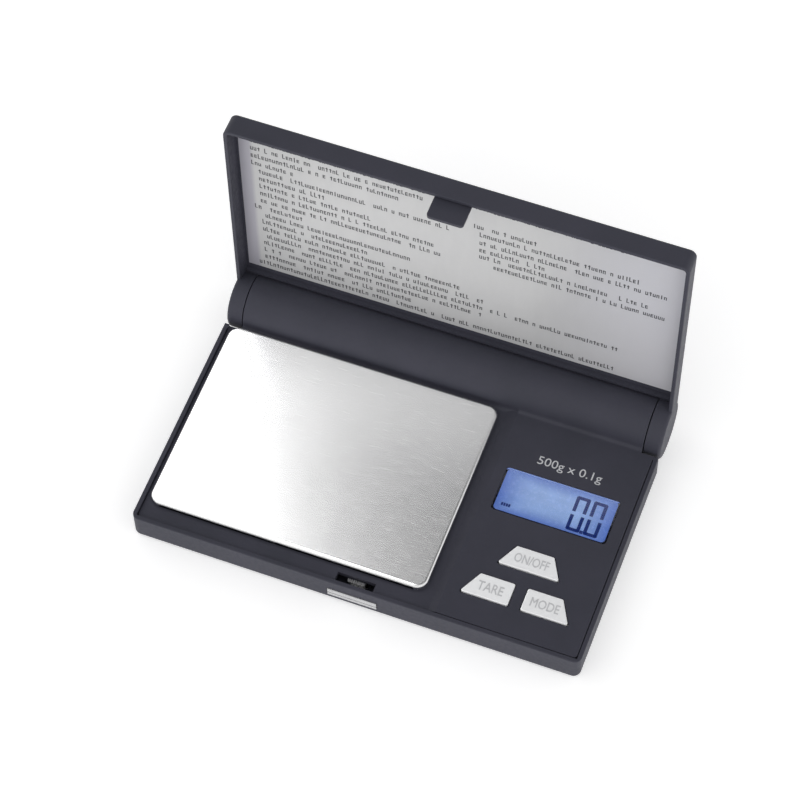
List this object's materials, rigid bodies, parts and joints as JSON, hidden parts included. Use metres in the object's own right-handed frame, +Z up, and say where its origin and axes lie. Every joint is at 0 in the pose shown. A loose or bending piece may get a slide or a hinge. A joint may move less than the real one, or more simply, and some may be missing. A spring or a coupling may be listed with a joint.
{
  "type": "digital gram scale",
  "caption": "Pocket digital gram scale with a fold-over lid, steel weighing pan, lit display, silver keys, front latch button and a battery barrel along the hinge.",
  "frame": {"origin": "on the surface that the scale stands on, under the middle of the open scale's footprint", "axes": "+X along the lid hinge towards the control panel, +Y from the latch button to the hinge, +Z up out of the weighing pan"},
  "size_m": [0.132, 0.0878, 0.0881],
  "materials": {
    "case_plastic": "fine matte texture",
    "key_plastic": "silver satin",
    "button_silver": "bright silver satin",
    "pan_steel": "brushed",
    "spring_steel": "plated",
    "screw_steel": "zinc plated",
    "label_foil": "silver foil, satin",
    "window_clear": "clear, glossy",
    "display_blue": "lit liquid crystal display",
    "backlight_white": "diffuser",
    "frame_white": "moulded",
    "board_green": "solder mask",
    "switch_black": "moulded",
    "resin_black": "potting resin",
    "cell_aluminium": "milled",
    "sealant_white": "silicone",
    "zebra_rubber": "elastomer",
    "foot_rubber": "matt",
    "battery_jacket": "printed jacket",
    "wire_jacket": "insulated wire"
  },
  "bodies": {
    "base": {"bottom_case": "case_plastic", "top_deck": "case_plastic", "load_cell": "cell_aluminium", "gauge_covers": "sealant_white", "cell_fixed_screws": "screw_steel", "case_screws": "screw_steel", "board_screws": "screw_steel", "display_window": "window_clear", "display_frame": "frame_white", "display_glass": "display_blue", "display_backlight": "backlight_white", "zebra_strips": "zebra_rubber", "circuit_board": "board_green", "chip_cover": "resin_black", "key_switches": "switch_black", "latch_spring": "spring_steel", "battery_1": "battery_jacket", "battery_2": "battery_jacket", "battery_spring": "spring_steel", "contact_plates": "spring_steel", "battery_leads": "wire_jacket", "sensor_cable": "wire_jacket", "rubber_feet": "foot_rubber"},
    "lid": {"lid_shell": "case_plastic", "lid_label": "label_foil", "hinge_pins": "screw_steel"},
    "pan": {"weighing_pan": "pan_steel", "pan_support": "switch_black", "cell_free_screws": "screw_steel"},
    "power": {"power_key": "key_plastic", "power_plunger": "switch_black"},
    "tare": {"tare_key": "key_plastic", "tare_plunger": "switch_black"},
    "mode": {"mode_key": "key_plastic", "mode_plunger": "switch_black"},
    "release": {"release_button": "button_silver"},
    "battery_cover": {"battery_door": "case_plastic"}
  },
  "joints": [
    {"name": "lid_hinge", "type": "hinge", "parent": "base", "child": "lid", "pos_m": [0, 0.03519, 0.00948], "axis": [1, 0, 0], "range_deg": [0, 90.5], "deforming": ["latch_spring"]},
    {"name": "pan_settle", "type": "slide", "parent": "base", "child": "pan", "axis": [0, 0, -1], "range_m": [0, 0.0004], "stiffness_N_per_m": 12300, "deforming": ["load_cell"]},
    {"name": "power_press", "type": "slide", "parent": "base", "child": "power", "axis": [0, 0, -1], "range_m": [0, 0.0004], "stiffness_N_per_m": 3000},
    {"name": "tare_press", "type": "slide", "parent": "base", "child": "tare", "axis": [0, 0, -1], "range_m": [0, 0.0004], "stiffness_N_per_m": 3000},
    {"name": "mode_press", "type": "slide", "parent": "base", "child": "mode", "axis": [0, 0, -1], "range_m": [0, 0.0004], "stiffness_N_per_m": 3000},
    {"name": "release_press", "type": "slide", "parent": "base", "child": "release", "axis": [0, 1, 0], "range_m": [0, 0.001], "stiffness_N_per_m": 2500, "deforming": ["latch_spring"]},
    {"name": "battery_cover_slide", "type": "slide", "parent": "base", "child": "battery_cover", "axis": [0, 1, 0], "range_m": [0, 0.003]}
  ]
}
